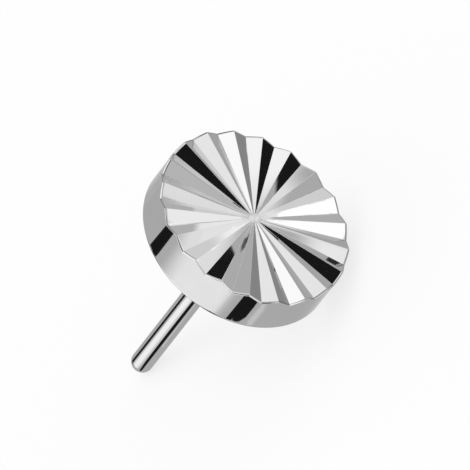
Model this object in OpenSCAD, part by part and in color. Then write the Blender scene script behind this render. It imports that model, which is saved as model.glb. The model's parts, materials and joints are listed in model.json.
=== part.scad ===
// Threadless piercing top: a round head with a sunburst face, on a straight pin.
// It lies as it comes to rest on a flat surface, on the rounded back edge of its
// head and the domed tip of its pin. All sizes are in millimetres and +Z is up.

/* [Head] */
// Diameter of the round head
head_d = 5; // [3:0.1:8]
// Height of the head, from its flat back to the tips of its ridges
head_h = 1.2; // [1:0.05:2]
// Radius of the rounded edge around the back
back_edge_r = 0.15; // [0.05:0.05:0.3]

/* [Sunburst face] */
// Number of ridges around the face
ridge_count = 20; // [8:1:36]
// Drop from a ridge tip to a valley at the rim
ridge_h = 0.15; // [0.05:0.01:0.25]
// Height of the centre point above the outer ends of the valleys
centre_rise = 0.04; // [0:0.01:0.05]
// Turn of the face about the axis, in degrees; at 0 a ridge points straight down
face_turn = 0; // [0:0.5:18]

/* [Pin] */
// Diameter of the pin
pin_d = 0.56; // [0.4:0.02:1.2]
// Length of the pin behind the head, with its domed tip
pin_length = 5.4; // [3:0.1:10]
// Diameter of the inner end of the pin's tapered root
root_end_d = 0.36; // [0.2:0.02:0.38]
// Depth of the blind seat in the back of the head, which holds the root
seat_depth = 0.6; // [0.3:0.05:0.6]
// Clearance between the pin and the head, all round
seat_gap = 0.01; // [0.005:0.005:0.02]

/* [Hidden] */

head_r = head_d / 2;
pin_r = pin_d / 2;
root_end_r = root_end_d / 2;
// Loss of radius along the root, for each millimetre of its length
root_taper = (pin_r - root_end_r) / seat_depth;

// The dome's centre, measured back from the flat back along the axis
dome_z = pin_length - pin_r;

// Lean of the axis, from a line that touches the floor under the dome of the
// pin and under the rounded back edge of the head
edge_reach = head_r - back_edge_r;
span_z = back_edge_r + dome_z;
span = sqrt(span_z * span_z + edge_reach * edge_reach);
lean = atan2(edge_reach, span_z) + asin((back_edge_r - pin_r) / span);

// Place of the middle of the flat back, with the floor at zero and the model
// centred over the origin from the pin's tip to the lowest ridge tip
back_up = pin_r + dome_z * sin(lean);
low_x = -dome_z * cos(lean) - pin_r;
high_x = head_h * cos(lean) + head_r * sin(lean);
back_x = -(low_x + high_x) / 2;

// Heights on the face: where all facets meet, and the outer ends of its valleys
valley_z = head_h - ridge_h;
centre_z = valley_z + centre_rise;

facet_count = 2 * ridge_count;
// The pleated block reaches past the head by this much, and is cut to its wall
over_size = 1.05;
// Overlap that lets one cut or union pass cleanly through the next
cut = 0.5;
round_fn = 96;
// Turn of the head's round surfaces about the axis, so that the lines where they
// close on themselves keep clear of the point that touches the floor
seam_turn = 360 / round_fn;

// Lays a shape down: its own +Z becomes the axis, from the pin to the face
module at_rest() {
    translate([back_x, 0, back_up])
        rotate([0, 90 - lean, 0])
            children();
}

// Half of the head seen from the side: flat back, rounded edge, straight wall
module head_outline() {
    square([edge_reach, head_h]);
    translate([0, back_edge_r])
        square([head_r, head_h - back_edge_r]);
    translate([edge_reach, back_edge_r])
        circle(back_edge_r, $fn = round_fn);
}

// Height on a ridge or a valley line at a given share of the head's radius
function ridge_at(share) = centre_z + (head_h - centre_z) * share;
function valley_at(share) = centre_z + (valley_z - centre_z) * share;

// Corner i of the pleated block, at height z on its circle
function corner(i, z) = [
    over_size * head_r * cos(i * 360 / facet_count),
    over_size * head_r * sin(i * 360 / facet_count),
    z
];

// Block whose top is pleated like a paper fan: flat facets run out from the
// centre, between ridges at the even corners and valleys at the odd ones
module pleated_block() {
    last = facet_count - 1;
    rim = [for (i = [0:last]) corner(i, i % 2 == 0 ? ridge_at(over_size) : valley_at(over_size))];
    base = [for (i = [0:last]) corner(i, -cut)];
    facets = [for (i = [0:last]) [0, 1 + (i + 1) % facet_count, 1 + i]];
    sides = [for (i = [0:last])
        let (next = (i + 1) % facet_count)
        [1 + i, 1 + next, 1 + facet_count + next, 1 + facet_count + i]];
    bottom = [[for (i = [0:last]) 1 + facet_count + i]];
    polyhedron(concat([[0, 0, centre_z]], rim, base), concat(facets, sides, bottom));
}

// Cone of the pin's root, from the flat back into the head: wider all round by a
// margin, and carried on along its taper for some way below the back
module root_cone(margin, below) {
    translate([0, 0, -below])
        cylinder(
            h = below + seat_depth,
            r1 = pin_r + margin + root_taper * below,
            r2 = root_end_r + margin,
            $fn = round_fn
        );
}

module fluted_head() {
    color("silver")
        at_rest()
            difference() {
                intersection() {
                    rotate([0, 0, seam_turn])
                        rotate_extrude($fn = round_fn)
                            head_outline();
                    rotate([0, 0, face_turn])
                        pleated_block();
                }
                root_cone(seat_gap, cut);
            }
}

// Round shaft with a domed tip, whose tapered root fills the seat in the head
module pin() {
    color("gainsboro")
        at_rest() {
            translate([0, 0, -dome_z]) {
                sphere(r = pin_r, $fn = round_fn);
                cylinder(h = dome_z - seat_gap, r = pin_r, $fn = round_fn);
            }
            translate([0, 0, -seat_gap])
                root_cone(0, 0);
        }
}

fluted_head();
pin();
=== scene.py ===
import json
import math

import bpy
from mathutils import Matrix, Vector


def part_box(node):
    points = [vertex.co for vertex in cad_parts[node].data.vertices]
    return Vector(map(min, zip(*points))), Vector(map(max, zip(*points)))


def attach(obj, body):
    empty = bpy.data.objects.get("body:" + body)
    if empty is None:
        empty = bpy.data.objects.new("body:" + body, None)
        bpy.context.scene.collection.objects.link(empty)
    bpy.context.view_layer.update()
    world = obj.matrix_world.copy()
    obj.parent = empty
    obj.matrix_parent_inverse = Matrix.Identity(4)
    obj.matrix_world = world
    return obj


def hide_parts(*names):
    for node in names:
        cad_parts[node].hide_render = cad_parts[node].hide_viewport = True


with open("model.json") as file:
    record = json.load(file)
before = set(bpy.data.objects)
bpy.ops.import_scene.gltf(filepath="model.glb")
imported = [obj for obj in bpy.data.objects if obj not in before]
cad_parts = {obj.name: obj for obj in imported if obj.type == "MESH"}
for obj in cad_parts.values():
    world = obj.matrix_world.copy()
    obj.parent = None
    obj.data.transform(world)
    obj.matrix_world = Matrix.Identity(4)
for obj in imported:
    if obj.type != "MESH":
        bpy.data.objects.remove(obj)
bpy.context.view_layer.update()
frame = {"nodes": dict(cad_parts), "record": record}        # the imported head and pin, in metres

# Read from the frame: where the head's back lies, which way its face looks, and the sizes in mm.
mm = 0.001
mounts = {mount["name"]: mount for mount in frame["record"]["mounts"]}
towardsFace = -Vector(mounts["post_pin"]["axis"]).normalized()
sideWays = Vector((0, 1, 0))
downFace = sideWays.cross(towardsFace)        # along the face, towards its lowest ridge
backAt = mounts["back_face"]["pos_m"]
backMiddle = Vector((backAt[0], 0, backAt[2]))

headLow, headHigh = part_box("fluted_head")
headRadius = (headHigh.y - headLow.y) / 2 / mm
headPoints = [point.co for point in frame["nodes"]["fluted_head"].data.vertices]
headTall = max((point - backMiddle).dot(towardsFace) for point in headPoints) / mm
pinSize = mounts["post_pin"]["dims"]
pinRadius = pinSize["r_mm"]
shaftMiddle = (backMiddle - Vector(mounts["post_pin"]["pos_m"])).dot(towardsFace) / mm
shaftLong = shaftMiddle + pinSize["length_mm"] / 2        # from the flat back to the dome's centre


def addObject(name, data):
    made = bpy.data.objects.new(name, data)
    bpy.context.scene.collection.objects.link(made)
    return made


class Value:
    # one socket of a finish; sums with it add Math nodes
    def __init__(self, finish, socket):
        self.finish = finish
        self.socket = socket

    def maths(self, operation, first, second=0.0):
        return self.finish.node("ShaderNodeMath", {"operation": operation}, {0: first, 1: second})

    def __add__(self, other):
        return self.maths("ADD", self, other)

    def __radd__(self, other):
        return self.maths("ADD", other, self)

    def __sub__(self, other):
        return self.maths("SUBTRACT", self, other)

    def __rsub__(self, other):
        return self.maths("SUBTRACT", other, self)

    def __mul__(self, other):
        return self.maths("MULTIPLY", self, other)

    def __rmul__(self, other):
        return self.maths("MULTIPLY", other, self)

    def __truediv__(self, other):
        return self.maths("DIVIDE", self, other)

    def __rtruediv__(self, other):
        return self.maths("DIVIDE", other, self)

    def __mod__(self, other):
        return self.maths("FLOORED_MODULO", self, other)

    def __rmod__(self, other):
        return self.maths("FLOORED_MODULO", other, self)

    def __abs__(self):
        return self.maths("ABSOLUTE", self)


class Finish:
    # one material, built node by node
    def __init__(self, name):
        self.material = bpy.data.materials.new(name)
        self.material.use_nodes = True
        self.tree = self.material.node_tree
        self.tree.nodes.clear()

    def node(self, kind, settings, sockets, output=0):
        # settings are set first; a socket takes a link from a Value and anything else as it is
        made = self.tree.nodes.new(kind)
        for name, setting in settings.items():
            setattr(made, name, setting)
        for name, value in sockets.items():
            if isinstance(value, Value):
                self.tree.links.new(value.socket, made.inputs[name])
            else:
                made.inputs[name].default_value = value
        return Value(self, made.outputs[output]) if len(made.outputs) else None

    def surfaceMap(self, layer):
        # the two parts of one of the mesh's uv layers
        uv = self.node("ShaderNodeUVMap", {"uv_map": layer}, {})
        first = self.node("ShaderNodeSeparateXYZ", {}, {"Vector": uv}, "X")
        second = Value(self, first.socket.node.outputs["Y"])
        return first, second

    def grain(self, x, y, z, detail=2.0):
        # smooth noise from 0 to 1 that changes over steps of about 1
        spot = self.node("ShaderNodeCombineXYZ", {}, {"X": x, "Y": y, "Z": z})
        settings = {"noise_dimensions": "3D", "normalize": True}
        sockets = {"Vector": spot, "Scale": 1.0, "Detail": detail}
        return self.node("ShaderNodeTexNoise", settings, sockets, "Fac")

    def fade(self, value, low, high, fromLow=0.0, fromHigh=1.0):
        # runs smoothly from low to high while the value runs over its own range
        sockets = {"Value": value, "From Min": fromLow, "From Max": fromHigh, "To Min": low, "To Max": high}
        return self.node("ShaderNodeMapRange", {"interpolation_type": "SMOOTHSTEP", "clamp": True}, sockets)

    def blend(self, share, first, second):
        # a colour between two; a Mix node for colours has its factor at 0 and its colours at 6 and 7
        return self.node("ShaderNodeMix", {"data_type": "RGBA"}, {0: share, 6: first, 7: second}, 2)


titanium = (0.42, 0.42, 0.425)        # its colour, bare and polished


def bareTitanium(finish, look, lines, patches, worn=None):
    # the tool's lines dull the metal and stand in it as a bump; lines and soft patches change its tone
    darker, paler = (tuple(c * look[tone] for c in titanium) + (1,) for tone in ("darker", "paler"))
    share = lines * look["lineShare"] + patches * (1 - look["lineShare"])
    colour = finish.blend(share, darker, paler)
    roughness = look["smooth"] + lines * (look["dull"] - look["smooth"])
    if worn is not None:
        roughness = roughness + worn * look["wearDull"]
    bump = {"Height": lines, "Strength": 1.0, "Distance": look["lineDepth"] * mm}
    edge = look["edgeTone"]
    sockets = {
        "Base Color": colour,
        "Metallic": 1.0,
        "Roughness": roughness,
        "Specular Tint": (edge, edge, edge, 1),
        "Normal": finish.node("ShaderNodeBump", {}, bump),
    }
    shader = finish.node("ShaderNodeBsdfPrincipled", {}, sockets)
    finish.node("ShaderNodeOutputMaterial", {}, {"Surface": shader})
    return finish.material


def turnedTitanium(name, look):
    # lines that change only a few times in a turn run round the piece; with many to a turn they run along it
    finish = Finish(name)
    turn, along = finish.surfaceMap("lathe")
    lines = finish.grain(turn * look["linesRound"], along / look["lineStep"], look["lineSeed"])
    patches = finish.grain(turn * look["patchesRound"], along * look["patchesAlong"], look["patchSeed"], 1.0)
    return bareTitanium(finish, look, lines, patches)


# A spun mesh is a stack of bands. A band is a list of rows along the profile, and a row gives, for each
# turn about the axis, a radius and a height in mm and the surface's direction there: out, round and up.
# The uv layer "lathe" holds the turn, from 0 to 1, and the way along the profile, in mm.
onAxis = 0.000000001        # mm, a smaller radius than this is the axis itself


def place(radius, turn, height):
    spoke = downFace * math.cos(turn) + sideWays * math.sin(turn)
    return backMiddle + (spoke * radius + towardsFace * height) * mm


def heading(turn, out, around, up):
    spoke = downFace * math.cos(turn) + sideWays * math.sin(turn)
    tangent = sideWays * math.cos(turn) - downFace * math.sin(turn)
    return (spoke * out + tangent * around + towardsFace * up).normalized()


def addRow(points, turns, spots):
    # the numbers of a row's points; a row on the axis is one point
    first = len(points)
    if all(spot[0] < onAxis for spot in spots):
        points.append(place(0, 0, spots[0][1]))
        return [first] * len(turns)
    points.extend(place(spot[0], turn, spot[1]) for spot, turn in zip(spots, turns))
    return list(range(first, len(points)))


def facesBetween(turns, old, new):
    # each face between two rows, as its points with their directions and places on the uv layer
    for i in range(len(turns)):
        j = (i + 1) % len(turns)
        corners = {}
        for row, k in ((old, i), (new, i), (new, j), (old, j)):
            u = 1.0 if k < i else turns[k] / (2 * math.pi)
            corners.setdefault(row["ids"][k], (heading(turns[k], *row["spots"][k][2:]), (u, row["along"])))
        yield corners


def spin(name, turns, bands, finishes):
    points, faces, finishOf, headings, uvs = [], [], [], [], []
    along = 0.0
    ids = None
    for band in bands:
        old = None
        for row in band["rows"]:
            spots = [row(turn) for turn in turns]
            if old or not ids:        # a band's first row uses the last points of the band before
                ids = addRow(points, turns, spots)
            new = {"spots": spots, "ids": ids, "along": along}
            if old:
                start, end = old["spots"][0], spots[0]
                new["along"] += math.hypot(end[0] - start[0], end[1] - start[1])
                for corners in facesBetween(turns, old, new):
                    faces.append(list(corners))
                    finishOf.append(band["finish"])
                    headings.extend(way for way, uv in corners.values())
                    uvs.extend(uv for way, uv in corners.values())
            along = new["along"]
            old = new
    mesh = bpy.data.meshes.new(name)
    mesh.from_pydata([tuple(point) for point in points], [], faces)
    layer = mesh.uv_layers.new(name="lathe")
    layer.data.foreach_set("uv", [part for uv in uvs for part in uv])
    for finish in finishes:
        mesh.materials.append(finish)
    mesh.polygons.foreach_set("material_index", finishOf)
    mesh.polygons.foreach_set("use_smooth", [True] * len(faces))
    mesh.normals_split_custom_set([tuple(way) for way in headings])
    mesh.update()
    return addObject(name, mesh)


def plainRow(radius, height, out, up):
    # the same all the way round
    return lambda turn: (radius, height, out, 0.0, up)


def quarter(steps):
    # the steps of a quarter turn, from 0
    return [math.pi / 2 * step / steps for step in range(steps + 1)]


def roundedRows(radius, height, size, steps):
    # a quarter circle of this size about a point of the profile, from its side down to its foot
    ways = [(math.cos(bend), -math.sin(bend)) for bend in quarter(steps)]
    return [plainRow(radius + size * out, height + size * up, out, up) for out, up in ways]


headMake = {
    "ridges": 20,
    "ridgeDrop": 0.15,           # mm from a ridge tip down to a valley, at the rim
    "centreRise": 0.04,          # mm of the centre above the valleys' outer ends
    "foldRound": 0.04,           # degrees each side of a fold that are rounded off at the rim
    "foldSpread": 1.5,           # how fast that grows towards the centre, as a power of the radius
    "foldInner": 0.01,           # mm, the radius inside which it grows no more
    "foldMost": 0.24,            # the most it grows to, as a share of the way from ridge to ridge
    "centreSoft": 0.06,          # mm round the centre where the pleats run out
    "rimWide": 0.06,             # mm, how far in the broken edge round the face reaches
    "rimDrop": 0.03,             # mm, how far down it reaches
    "rimSteps": 9,
    "wallCuts": (0, 0.33, 0.67, 1),  # where the wall is cut, as shares of the way down it
    "backEdge": 0.15,            # mm, radius of the rounded edge round the back
    "backEdgeSteps": 12,
    "backCuts": (1.6, 0.9),      # mm, radii at which the flat back is cut
    "seatMouth": 0.29,           # mm, radius
    "seatEnd": 0.19,             # mm, radius
    "seatDeep": 0.6,             # mm
}
faceTall = headTall - headMake["ridgeDrop"] + headMake["centreRise"]        # mm from the back to the centre
faceMiddle = backMiddle + towardsFace * faceTall * mm


def softFold(offset, half):
    # distance from a fold line and its rate of change, rounded off within half on either side
    if abs(offset) >= half:
        return abs(offset), math.copysign(1, offset)
    return (offset * offset + half * half) / (2 * half), offset / half


def pleat(turn, radius):
    # slope of the face along its radius, and how fast that changes with the turn
    pitch = 2 * math.pi / headMake["ridges"]
    spreading = (headRadius / max(radius, headMake["foldInner"])) ** headMake["foldSpread"]
    half = min(math.radians(headMake["foldRound"]) * spreading, pitch * headMake["foldMost"])
    fromRidge = (turn + pitch / 2) % pitch - pitch / 2
    away, awayRate = softFold(fromRidge, half)
    left, leftRate = softFold(pitch / 2 - away, half)
    away = pitch / 2 - left
    rate = awayRate * leftRate
    rise = (headMake["ridgeDrop"] - headMake["centreRise"]) / headRadius
    sink = -headMake["centreRise"] / headRadius
    spread = math.sin(pitch / 2)
    slope = (rise * math.sin(pitch / 2 - away) + sink * math.sin(away)) / spread
    change = (-rise * math.cos(pitch / 2 - away) + sink * math.cos(away)) / spread * rate
    return slope, change


def faceRow(radius):
    # the pleated face; the pleats fade out to a flat spot at the centre
    soft = math.exp(-radius / headMake["centreSoft"])
    lift = radius * (1 - soft)
    liftRate = 1 - soft * (1 - radius / headMake["centreSoft"])

    def spot(turn):
        slope, change = pleat(turn, radius)
        return radius, faceTall + lift * slope, -liftRate * slope, -(1 - soft) * change, 1.0
    return spot


def rimRow(bend):
    # the broken edge between the face and the wall; bend runs from 0 to a quarter turn
    wide, drop = headMake["rimWide"], headMake["rimDrop"]
    sine, cosine = math.sin(bend), math.cos(bend)
    inner = headRadius - wide
    face = faceRow(inner)

    def spot(turn):
        slope, change = pleat(turn, inner)
        radius = inner + wide * sine
        height = face(turn)[1] + slope * wide * sine - drop * (1 - cosine)
        out = radius * (drop * sine - slope * wide * cosine)
        return radius, height, out, -inner * change * wide * cosine, radius * wide * cosine
    return spot


def wallRow(share):
    # from the broken edge, at 0, down to the rounded back edge, at 1
    top = rimRow(math.pi / 2)

    def spot(turn):
        high = top(turn)[1]
        return headRadius, high + (headMake["backEdge"] - high) * share, 1.0, 0.0, 0.0
    return spot


def cutFacets():
    look = {
        "lineWide": 0.03,        # mm between the cutter's lines
        "lineLong": 2.5,         # mm over which a line changes
        "nextLines": 7.3,        # how far on in the noise the next facet's lines are
        "lineDepth": 0.000008,   # mm
        "lineShare": 0.6,        # of the tone; the patches have the rest
        "patchesWide": 3,        # soft patches to a mm across a facet
        "patchesLong": 1.5,      # and along it
        "nextPatches": 3.1,      # how far on in the noise its patches are
        "paler": 1.03,
        "darker": 0.97,
        "smooth": 0.01,
        "dull": 0.04,
        "wearWide": 0.012,       # mm of rubbed metal beside each ridge
        "wearDull": 0.08,
        "edgeTone": 1.0,
    }
    ridges = headMake["ridges"]
    facets = 2 * ridges
    finish = Finish("bright_cut_facets")
    turn, along = finish.surfaceMap("lathe")        # on the face, along is the way from the centre
    across = (turn * facets) % 1                    # from 0 at a facet's one fold to 1 at the other
    number = turn * facets - across
    sideways = (across - 0.5) * along * (2 * math.pi / facets)        # mm from the facet's middle
    lines = finish.grain(sideways / look["lineWide"], along / look["lineLong"], number * look["nextLines"])
    patches = finish.grain(
        sideways * look["patchesWide"], along * look["patchesLong"], number * look["nextPatches"], 1.0)
    fromRidge = abs((turn * ridges + 0.5) % 1 - 0.5)        # 1 is the way from ridge to ridge
    worn = finish.fade(fromRidge * along * (2 * math.pi / ridges), 1.0, 0.0, 0.0, look["wearWide"])
    return bareTitanium(finish, look, lines, patches, worn)


def polishedWall():
    look = {
        "linesRound": 14,        # times that a polishing line changes on its way round the head
        "lineStep": 0.02,        # mm from one line to the next
        "lineSeed": 0.0,
        "lineDepth": 0.000006,   # mm
        "lineShare": 0.0,        # of the tone; the patches have the rest
        "patchesRound": 40,      # soft patches round the head
        "patchesAlong": 2,       # and to a mm down its wall
        "patchSeed": 5.0,
        "paler": 1.03,
        "darker": 0.97,
        "smooth": 0.02,
        "dull": 0.06,
        "edgeTone": 0.76,        # share of the mirror's brightness kept where the wall turns away
    }
    return turnedTitanium("polished_wall", look)


def turnedBack():
    look = {
        "linesRound": 5,         # times that a ring changes on its way round the back
        "lineStep": 0.035,       # mm between the rings that the lathe tool left
        "lineSeed": 2.0,
        "lineDepth": 0.0002,     # mm
        "lineShare": 0.5,        # of the tone; the patches have the rest
        "patchesRound": 12,      # soft patches round the back
        "patchesAlong": 1.2,     # and to a mm of its radius
        "patchSeed": 9.0,
        "paler": 1.06,
        "darker": 0.92,
        "smooth": 0.12,
        "dull": 0.24,
        "edgeTone": 1.0,
    }
    return turnedTitanium("turned_back", look)


# Where the face's mesh is cut: across a facet, as shares of it that crowd beside its two folds, and
# outwards, as radii in mm that crowd round the centre.
facetCuts = (0, 0.007, 0.016, 0.035, 0.085, 0.25, 0.5, 0.75, 0.915, 0.965, 0.984, 0.993)
faceCuts = (
    0, 0.01, 0.02, 0.035, 0.05, 0.07, 0.09, 0.12, 0.15, 0.2, 0.26, 0.33, 0.42, 0.55,
    0.7, 0.9, 1.1, 1.35, 1.6, 1.85, 2.1, 2.3)


def flutedHead():
    facets = 2 * headMake["ridges"]
    turns = [(k + share) * (2 * math.pi / facets) for k in range(facets) for share in facetCuts]
    rim = headRadius - headMake["rimWide"]
    edge = headMake["backEdge"]
    flat = headRadius - edge
    mouth, end, deep = headMake["seatMouth"], headMake["seatEnd"], headMake["seatDeep"]
    lean = math.atan2(mouth - end, deep)
    backRadii = (flat, *headMake["backCuts"], mouth)
    bands = [
        {"finish": 0, "rows": [faceRow(radius) for radius in faceCuts + (rim,)]},
        {"finish": 1, "rows": [rimRow(bend) for bend in quarter(headMake["rimSteps"])]},
        {"finish": 1, "rows": [wallRow(share) for share in headMake["wallCuts"]]},
        {"finish": 1, "rows": roundedRows(flat, edge, edge, headMake["backEdgeSteps"])},
        {"finish": 2, "rows": [plainRow(radius, 0, 0, -1) for radius in backRadii]},
        {"finish": 2, "rows": [
            plainRow(mouth, 0, -math.cos(lean), -math.sin(lean)),
            plainRow(end, deep, -math.cos(lean), -math.sin(lean))]},
        {"finish": 2, "rows": [plainRow(end, deep, 0, -1), plainRow(0, deep, 0, -1)]},
    ]
    piece = spin("fluted_head_cut", turns, bands, [cutFacets(), polishedWall(), turnedBack()])
    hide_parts("fluted_head")
    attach(piece, "root")


pinMake = {
    "around": 96,
    "rootEnd": 0.18,         # mm, radius
    "rootTop": 0.59,         # mm into the head
    "rootFoot": -0.01,       # mm, where the taper begins
    "shaftParts": 4,
    "domeSteps": 14,
}


def drawnPin():
    look = {
        "linesRound": 220,       # fine lines side by side round the pin
        "lineStep": 1.5,         # mm over which a line changes
        "lineSeed": 4.0,
        "lineDepth": 0.000006,   # mm
        "lineShare": 0.5,        # of the tone; the patches have the rest
        "patchesRound": 6,       # soft patches round the pin
        "patchesAlong": 1.5,     # and to a mm along it
        "patchSeed": 1.0,
        "paler": 1.04,
        "darker": 0.95,
        "smooth": 0.03,
        "dull": 0.07,
        "edgeTone": 0.76,        # share of the mirror's brightness kept where the pin turns away
    }
    return turnedTitanium("drawn_pin", look)


def straightPin():
    turns = [2 * math.pi * k / pinMake["around"] for k in range(pinMake["around"])]
    end, top, foot = pinMake["rootEnd"], pinMake["rootTop"], pinMake["rootFoot"]
    lean = math.atan2(pinRadius - end, top - foot)
    parts = pinMake["shaftParts"]
    shaftStops = [foot - (shaftLong + foot) * (k / parts) for k in range(parts + 1)]
    bands = [
        {"finish": 0, "rows": [plainRow(0, top, 0, 1), plainRow(end, top, 0, 1)]},
        {"finish": 0, "rows": [
            plainRow(end, top, math.cos(lean), math.sin(lean)),
            plainRow(pinRadius, foot, math.cos(lean), math.sin(lean))]},
        {"finish": 0, "rows": [plainRow(pinRadius, stop, 1, 0) for stop in shaftStops]},
        {"finish": 0, "rows": roundedRows(0, -shaftLong, pinRadius, pinMake["domeSteps"])},
    ]
    piece = spin("pin_drawn", turns, bands, [drawnPin()])
    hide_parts("pin")
    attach(piece, "root")


# The room: a pale lit table that runs into an equally pale surround, and one large soft light above.
studio = {
    "surroundGlow": 0.93,
    "tableTone": 0.3,                # share of the light on the table that it sends back
    "tableGlow": 0.7,                # its own light, which keeps the shadows faint
    "tableSize": 2.0,                # m
    "overheadPower": 0.012,          # W
    "overheadSize": 0.12,            # m
    "overheadHeight": 0.16,          # m
}


def litTable():
    half = studio["tableSize"] / 2
    corners = [(-half, -half, 0), (half, -half, 0), (half, half, 0), (-half, half, 0)]
    mesh = bpy.data.meshes.new("table")
    mesh.from_pydata(corners, [], [(0, 1, 2, 3)])
    finish = Finish("lit_table")
    tone = studio["tableTone"]
    face = finish.node("ShaderNodeBsdfDiffuse", {}, {"Color": (tone, tone, tone, 1)})
    glow = finish.node("ShaderNodeEmission", {}, {"Strength": studio["tableGlow"]})
    both = finish.node("ShaderNodeAddShader", {}, {0: face, 1: glow})
    finish.node("ShaderNodeOutputMaterial", {}, {"Surface": both})
    mesh.materials.append(finish.material)
    table = addObject("table", mesh)


def paleSurround():
    world = bpy.data.worlds.new("pale_surround")
    bpy.context.scene.world = world
    world.use_nodes = True
    backdrop = world.node_tree.nodes["Background"]
    backdrop.inputs["Color"].default_value = (1, 1, 1, 1)
    backdrop.inputs["Strength"].default_value = studio["surroundGlow"]


def overheadLight():
    lamp = bpy.data.lights.new("overhead", "AREA")
    lamp.energy = studio["overheadPower"]
    lamp.size = studio["overheadSize"]
    overhead = addObject("overhead", lamp)
    overhead.location = (0, 0, studio["overheadHeight"])
    overhead.visible_glossy = False


# Cards that only the metal's reflections see, placed as a jeweller's photographer sets them round a bright
# piece. They are glowing sheets, not lamps: they light nothing and cast no shadow, so the bright ones are
# painted highlights and the dark ones painted shade in the metal's reflections. A card lies in the plane
# of its stand. A stand is a flat sheet on the table, or an upright or tilted sheet that faces a point of
# the piece: azimuth runs from the -Y side towards +X, in degrees, and distance is in mm. Corners are in mm
# across and up from the middle of the stand, and along X and Y on the table. Outside its corners a card
# fades away over its soft width. A glow of 2.37 turns the metal white in the picture, 0.93 is the room's
# own grey, and near 0 is black.
standColumns = ("facing", "azimuth", "elevation", "distance")
stands = {
    "farSide": ("face", 120, 30, 80),
    "nearSide": ("face", 158, 8, 14),
    "front": ("face", 92, 4, 16),
    "centre": ("face", 134, -3, 7),
    "behind": ("face", 185, 0, 40),
    "lens": ("face", 40, 33, 10),
    "close": ("face", 90, 0, 2.94),
    "middling": ("face", 90, 0, 4.0),
    "further": ("face", 90, 0, 5.13),
    "furthest": ("face", 90, 0, 6.8),
    "corner": ("head", -45, 0, 9.5),
    "left": ("head", -75, 5, 10),
    "pinTip": ("pin", -90, 0, 5.5),
    "pinSide": ("pin", -75, 0, 6.2),
}


def oblong(left, low, right, high):
    return (left, low), (right, low), (right, high), (left, high)


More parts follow.
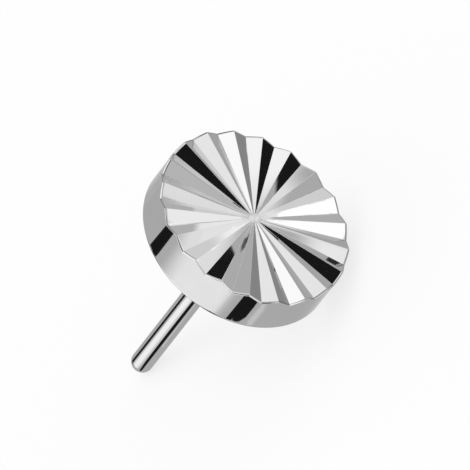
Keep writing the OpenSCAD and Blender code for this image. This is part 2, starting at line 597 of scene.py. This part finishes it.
cardColumns = ("name", "stand", "glow", "soft", "corners")
cards = (
    # on the table, seen by the facets; the first card paints an evenly lit table over the real one in the
    # reflections, and the next two paint the table's shade near the piece
    ("even_table", "table", 0.93, 30, oblong(-40, -40, 40, 40)),
    ("near_table", "table", 0.79, 0.3, ((2.5, 0), (4.3, 0), (5.3, 14), (2.5, 14))),
    ("table_shade", "table", 0.52, 0.06, (
        (4.18, 0.3), (5.38, 0.6), (5.42, 1.2), (5.3, 2.4), (5.3, 4.2), (5.6, 7.3), (5.1, 7.3),
        (5.0, 5.4), (4.9, 4.0), (4.62, 4.05), (4.5, 3.9), (4.38, 3.0), (4.2, 1.0))),
    ("table_flag", "table", 0.02, 0.05, (
        (5.4, 5.2), (5.5, 4.2), (5.42, 3.8), (5.6, 3.55), (6.05, 3.12), (6.2, 3.2),
        (6.36, 3.75), (6.25, 4.3), (6.05, 5.0), (5.9, 5.9))),
    ("table_flag_end", "table", 0.02, 0.18, ((5.8, 3.6), (6.2, 3.25), (6.38, 3.75), (6.2, 4.2), (5.9, 4.6))),
    ("streak_flag", "table", 0.2, 0.08, (
        (6.13, 2.42), (6.19, 2.42), (6.24, 2.24), (6.22, 2.14), (6.16, 2.18))),
    ("middle_table", "table", 1.25, 0.2, ((7.0, 3.1), (8.3, 3.4), (8.6, 3.9), (6.7, 5.9), (6.8, 4.4))),
    ("dash_flag", "table", 0.1, 0.08, ((7.4, 4.0), (7.6, 4.05), (8.35, 5.0), (8.2, 5.2), (7.72, 4.45))),
    ("table_card", "table", 1.7, 1.5, (
        (8.6, 1.1), (9.0, 0.9), (13.1, 0.9), (13.1, 2.1), (9.4, 2.05), (8.6, 1.95))),
    ("table_strip", "table", 1.8, 0.1, ((9.3, 1.45), (12.5, 1.45), (12.5, 1.9), (9.3, 1.98))),
    ("table_dash", "table", 2.37, 0.05, ((6.78, 1.45), (7.8, 1.45), (7.6, 2.02), (6.65, 2.02))),
    ("table_end", "table", 2.37, 0.3, ((14.5, -0.5), (24, -2), (24, 1.6), (14.5, 1.2))),
    # far off, seen by the facets
    ("sky_card", "farSide", 1.85, 1, oblong(-28, -4, 22.5, 15)),
    ("sky_middle", "farSide", 2.25, 2, oblong(-12.5, -2, 4.5, 15)),
    ("sky_end", "farSide", 2.12, 1.2, oblong(17.6, -3, 22.5, 14)),
    ("sky_corner", "farSide", 2.1, 2.2, oblong(35.4, -7, 42, 0.5)),
    ("sky_low", "farSide", 1.07, 1.5, oblong(-48, -24, -41, -17)),
    ("sky_flag", "farSide", 0.02, 0.5, (
        (-42.5, -14.5), (-36, -14.5), (-29.2, -6), (-29.2, 1.5), (-37, 1.5), (-42.5, -6))),
    ("sky_shade", "farSide", 0.35, 0.6, (
        (-30, 4.5), (-22, 6.5), (-14, 8.6), (-7, 9.6), (0, 10), (8, 9.2), (15, 8), (20, 6.6), (25, 4.6),
        (30, 3), (35, 0.5), (40, -2.5), (70, -2), (70, 14), (-30, 14))),
    ("sky_high", "farSide", 2.1, 2, oblong(-60, 17, 35, 70)),
    # near by, seen by the facets
    ("side_left", "nearSide", 1.7, 0.85, oblong(-0.95, 1.15, -0.3, 1.9)),
    ("side_top", "nearSide", 1.4, 0.05, ((-0.03, 2.3), (0.03, 0.2), (0.6, 0.2), (0.6, 2.3))),
    ("side_bright", "nearSide", 2.0, 0.65, oblong(0.2, 0.1, 0.5, 0.9)),
    ("side_middle", "nearSide", 1.75, 0.1, oblong(0.3, -1.2, 0.9, -0.3)),
    ("side_band", "nearSide", 1.42, 0.35, oblong(0.2, -2.6, 0.8, -1.15)),
    ("side_right", "nearSide", 1.8, 0.25, (
        (1.4, -3.0), (1.85, -3.0), (2.2, -2.0), (2.0, -1.1), (1.75, -0.85), (1.3, -0.6))),
    ("side_foot", "nearSide", 1.33, 0.12, ((2.1, -4.6), (3.0, -4.6), (2.85, -2.9), (2.4, -2.9))),
    ("side_flag", "nearSide", 0.02, 0.06, (
        (-2.5, 4.4), (-1.88, 3.66), (-1.6, 3.62), (-1.6, 4.0), (-1.8, 4.8))),
    ("front_low", "front", 1.9, 1.0, oblong(-1.6, -1.6, -0.52, -0.3)),
    ("front_high", "front", 1.7, 0.05, oblong(-0.5, -0.95, 0.4, 1.75)),
    ("front_foot", "front", 2.37, 0.04, (
        (-0.1, -1.7), (0.0, -2.6), (0.1, -4.3), (0.92, -4.3), (0.55, -3.0), (0.35, -2.5), (0.15, -2.1),
        (0.15, -1.7))),
    ("front_side", "front", 1.93, 0.1, (
        (0.28, -2.3), (0.26, -1.9), (0.7, -1.9), (1.5, -4.3), (1.05, -4.3), (0.66, -3.0))),
    ("close_card", "close", 2.37, 0.03, ((1.28, -2.16), (1.62, -2.16), (1.76, -2.3), (1.44, -2.57))),
    ("strip_front", "middling", 2.37, 0.02, (
        (1.1, -1.9), (1.42, -2.0), (1.86, -2.51), (1.84, -2.54), (1.6, -2.48), (1.46, -2.44))),
    ("strip_card", "further", 2.37, 0.03, ((1.36, -2.42), (1.5, -2.68), (1.95, -2.68), (1.8, -2.58))),
    ("strip_top", "further", 2.37, 0.04, ((1.08, -1.7), (1.25, -1.8), (1.5, -2.16), (1.24, -2.0))),
    ("strip_end", "furthest", 2.37, 0.03, ((1.2, -2.1), (1.33, -2.08), (1.9, -2.68), (1.52, -2.68))),
    # ahead of the flat middle, also seen by way of a second facet
    ("centre_card", "centre", 1.55, 0.3, (
        (-4.9, -1.1), (-3.7, -2.0), (-1.9, -2.28), (2.45, -2.28), (2.55, -0.9), (2.5, 0.5), (2.2, 1.9),
        (2.0, 2.3), (1.3, 3.2), (0, 3.4), (-2, 3.0), (-4.6, 1.8))),
    ("centre_high", "centre", 2.4, 0.7, (
        (0.9, -0.9), (1.5, -0.9), (1.8, 0.4), (1.9, 1.3), (1.7, 1.6), (1.3, 1.3), (0.8, 0.2))),
    ("centre_line", "centre", 0.05, 0.03, ((0.2, 0.1), (0.3, 0.08), (0.66, 0.52), (0.58, 0.57))),
    ("centre_dash", "centre", 0.05, 0.03, ((0.02, -0.28), (-0.06, -0.26), (-0.4, -0.82), (-0.32, -0.87))),
    ("centre_spot", "centre", 0.08, 0.06, ((-0.56, -2.36), (-0.44, -2.36), (-0.31, -2.08), (-0.44, -2.08))),
    # near by, a dark card whose reflection is a painted dark streak on one facet
    ("streak_close", "close", 0.15, 0.02, ((1.62, -2.06), (1.9, -2.1), (1.95, -2.16), (1.64, -2.14))),
    # seen by the broken edge round the face; their reflections are the painted light and dark lines along it
    ("rear_shade", "behind", 0.42, 1.5, (
        (-11, 12), (-3, 3), (2, 10), (2, 30), (-6, 60), (-20, 60), (-21, 40), (-17, 24))),
    ("rear_table", "table", 0.45, 0.3, ((-2.5, 8), (2.6, 7), (3.0, 20), (3.0, 38), (-2.5, 38))),
    ("lens_ring", "lens", 2.1, 1, (
        (-14, -9), (-3, -9), (3.5, -7.5), (6, -3), (6.5, 3), (6, 9), (4, 14), (-14, 18))),
    ("lens_shade", "lens", 0.15, 0.6, (
        (-1.5, -5.5), (1, -3), (4.5, -2.5), (5, 2.5), (2, 4.5), (-1.5, 5), (-3.2, 2), (-3, -2), (-4, -8),
        (-2.5, -8))),
    ("front_table", "table", 2.0, 0.4, ((5.3, -2.0), (8, -0.8), (14, -0.6), (14, -9), (6, -6))),
    ("edge_shade", "table", 0.3, 0.08, ((4.4, -1.5), (5.05, -1.5), (5.0, 0.1), (4.5, 0.2))),
    # on the table again, a dark card whose reflection is painted shade at the root of one facet
    ("strip_shade", "table", 0.15, 0.05, (
        (5.42, 0.5), (5.98, 0.55), (6.0, 0.95), (5.94, 1.4), (5.86, 2.0), (5.42, 2.0))),
    # seen by the wall
    ("wall_soft_end", "corner", 1.78, 4.2, oblong(-1.2, 3, 2, 9)),
    ("wall_panel", "corner", 1.8, 1.6, oblong(0.4, -1.2, 7, 6)),
    ("wall_table_card", "table", 1.66, 4.5, ((-2.9, -11.1), (-6.1, -7.7), (-12, -12), (-8, -17))),
    ("wall_glint", "table", 1.24, 0.3, ((0.72, -3.54), (0.78, -3.7), (1.27, -3.84), (1.22, -3.68))),
    ("wall_flag", "left", 0.02, 0.12, (
        (-0.8, 6), (-2.85, 6), (-2.95, 4.4), (-2.5, 3.2), (-2.9, 1.8), (-1.9, 2.7), (-0.8, 4.3))),
    ("wall_table_flag", "table", 0.02, 0.06, (
        (-1.3, -5.5), (-0.4, -6.2), (1.2, -4.68), (0.76, -4.32), (0.47, -4.2), (0.15, -4.35), (-0.25, -4.72),
        (-0.5, -5.1), (-1.0, -4.5), (-1.5, -4.8))),
    # seen by the pin
    ("pin_panel", "pinSide", 2.05, 1.5, (
        (0.5, 2.5), (-0.15, 0.75), (0.1, 0.1), (0.9, -0.3), (2.6, 0.5), (6, 0.5), (6, 3.2), (0.8, 3.2))),
    ("pin_flag", "pinTip", 0.02, 0.08, ((-0.05, -0.5), (-0.1, 3.3), (-2.5, 3.3), (-1.3, 0.5), (-0.9, -0.5))),
    ("pin_table_card", "table", 1.4, 0.6, ((-6.4, -6.4), (-4.9, -2.3), (-5.6, -0.6), (-12, -4), (-12, -9.6))),
    ("pin_table_flag", "table", 0.02, 0.06, (
        (-4.36, -6.2), (-2.4, -3.4), (-1.5, -1.85), (-3.55, -0.35), (-3.68, -0.9), (-3.82, -1.3),
        (-3.98, -2.05), (-4.25, -3.2), (-4.36, -4.1))),
    ("pin_table_strip", "table", 1.3, 0.08, ((-0.9, -1.5), (-2.6, -0.7), (-2.55, -0.6), (-0.8, -1.36))),
)
cardGap = 0.002          # mm that each card lies nearer than the one before, so that it covers it
sharpCorner = 0.4        # keeps the fade outside a sharp corner from running far out


def direction(azimuth, elevation):
    a, e = math.radians(azimuth), math.radians(elevation)
    return Vector((math.sin(a) * math.cos(e), -math.cos(a) * math.cos(e), math.sin(e)))


def standPlane(name, gap):
    # the middle of a stand, this many mm in front of its sheet, and its directions across and up
    if name == "table":
        return Vector((0, 0, gap * mm)), Vector((1, 0, 0)), Vector((0, 1, 0))
    stand = dict(zip(standColumns, stands[name]))
    points = {
        "face": faceMiddle,
        "head": backMiddle + towardsFace * headTall / 2 * mm,
        "pin": backMiddle - towardsFace * shaftLong / 2 * mm,
    }
    away = direction(stand["azimuth"], stand["elevation"])
    across = Vector((0, 0, 1)).cross(away).normalized()
    return points[stand["facing"]] + away * (stand["distance"] - gap) * mm, across, away.cross(across)


def widened(corners, width):
    # the corners of an outline that runs outside another at an even distance
    area = sum(a[0] * b[1] - b[0] * a[1] for a, b in zip(corners, corners[1:] + corners[:1]))
    side = math.copysign(1, area)
    outer = []
    for last, corner, following in zip(corners[-1:] + corners[:-1], corners, corners[1:] + corners[:1]):
        before = (Vector(corner) - Vector(last)).normalized()
        after = (Vector(following) - Vector(corner)).normalized()
        normals = [Vector((edge.y, -edge.x)) * side for edge in (before, after)]
        reach = (normals[0] + normals[1]) / max(1 + normals[0].dot(normals[1]), sharpCorner)
        outer.append(tuple(Vector(corner) + reach * width))
    return outer


def cardFinish(card):
    # a plain glow that fades out over the card's soft edge
    finish = Finish(card["name"])
    inside = finish.surfaceMap("shows")[0]
    clear = finish.node("ShaderNodeBsdfTransparent", {}, {})
    glow = finish.node("ShaderNodeEmission", {}, {"Strength": card["glow"]})
    shader = finish.node("ShaderNodeMixShader", {}, {0: finish.fade(inside, 0.0, 1.0), 1: clear, 2: glow})
    finish.node("ShaderNodeOutputMaterial", {}, {"Surface": shader})
    return finish.material


def cardMesh(card, gap):
    # the card itself and a ring of soft edge; the uv layer "shows" runs from 1 on the card to 0 outside
    middle, across, rise = standPlane(card["stand"], gap)
    inner = list(card["corners"])
    count = len(inner)
    spots = inner + widened(inner, card["soft"])
    points = [tuple(middle + (across * x + rise * y) * mm) for x, y in spots]
    faces = [tuple(range(count))]
    faces += [(i, (i + 1) % count, count + (i + 1) % count, count + i) for i in range(count)]
    mesh = bpy.data.meshes.new(card["name"])
    mesh.from_pydata(points, [], faces)
    layer = mesh.uv_layers.new(name="shows")
    uvs = [(1.0 if index < count else 0.0, 0.0) for face in faces for index in face]
    layer.data.foreach_set("uv", [part for uv in uvs for part in uv])
    mesh.materials.append(cardFinish(card))
    return mesh


def hangCards():
    for order, row in enumerate(cards, 1):
        card = dict(zip(cardColumns, row))
        sheet = addObject(card["name"], cardMesh(card, order * cardGap))
        sheet.visible_camera = False
        sheet.visible_diffuse = False
        sheet.visible_shadow = False


# The photo's view: where the camera stands round the head's axis, and how the picture is framed.
photoView = {
    "offAxis": 45,                   # degrees between the view and the head's axis
    "roundAxis": 65.2,               # degrees the view is turned about that axis, from straight above
    "axisSlope": 51.98,              # degrees the axis rises to the right in the picture
    "faceCentre": (254.37, 218.34),  # pixel where all facets meet
    "pixelsPerMm": 41.7,
    "picture": 470,                  # pixels, its width and height
    "distance": 400,                 # mm, far enough that nothing tapers
    "depth": 10,                     # the camera sees from a tenth of that distance to ten times it
    "sensor": 36,                    # mm
}


def photoCamera():
    view = photoView
    tilt, turned, slope = (math.radians(view[k]) for k in ("offAxis", "roundAxis", "axisSlope"))
    above = -downFace * math.cos(turned) - sideWays * math.sin(turned)
    towards = towardsFace * math.cos(tilt) + above * math.sin(tilt)       # from the head to the camera
    axisSeen = towardsFace * math.sin(tilt) - above * math.cos(tilt)      # the axis as the picture shows it
    axisLeft = axisSeen.cross(towards)
    right = axisSeen * math.cos(slope) + axisLeft * math.sin(slope)
    up = axisSeen * math.sin(slope) - axisLeft * math.cos(slope)
    half = view["picture"] / 2
    x = (view["faceCentre"][0] - half) / view["pixelsPerMm"]
    y = (half - view["faceCentre"][1]) / view["pixelsPerMm"]
    target = faceMiddle - (right * x + up * y) * mm
    lens = bpy.data.cameras.new("photo_view")
    lens.sensor_width = view["sensor"]
    lens.lens = view["sensor"] * view["distance"] * view["pixelsPerMm"] / view["picture"]
    lens.clip_start = view["distance"] / view["depth"] * mm
    lens.clip_end = view["distance"] * view["depth"] * mm
    camera = addObject("photo_view", lens)
    camera.rotation_mode = "QUATERNION"
    basis = [[axis[i] for axis in (right, up, towards)] for i in range(3)]
    camera.rotation_quaternion = Matrix(basis).to_quaternion()
    camera.location = target + towards * view["distance"] * mm
    bpy.context.scene.camera = camera


photoCamera()
print("camera set")
litTable()
paleSurround()
overheadLight()
hangCards()
print("studio built")
flutedHead()
print("head built")
straightPin()
print("pin built")
bpy.context.scene.view_settings.view_transform = "Standard"
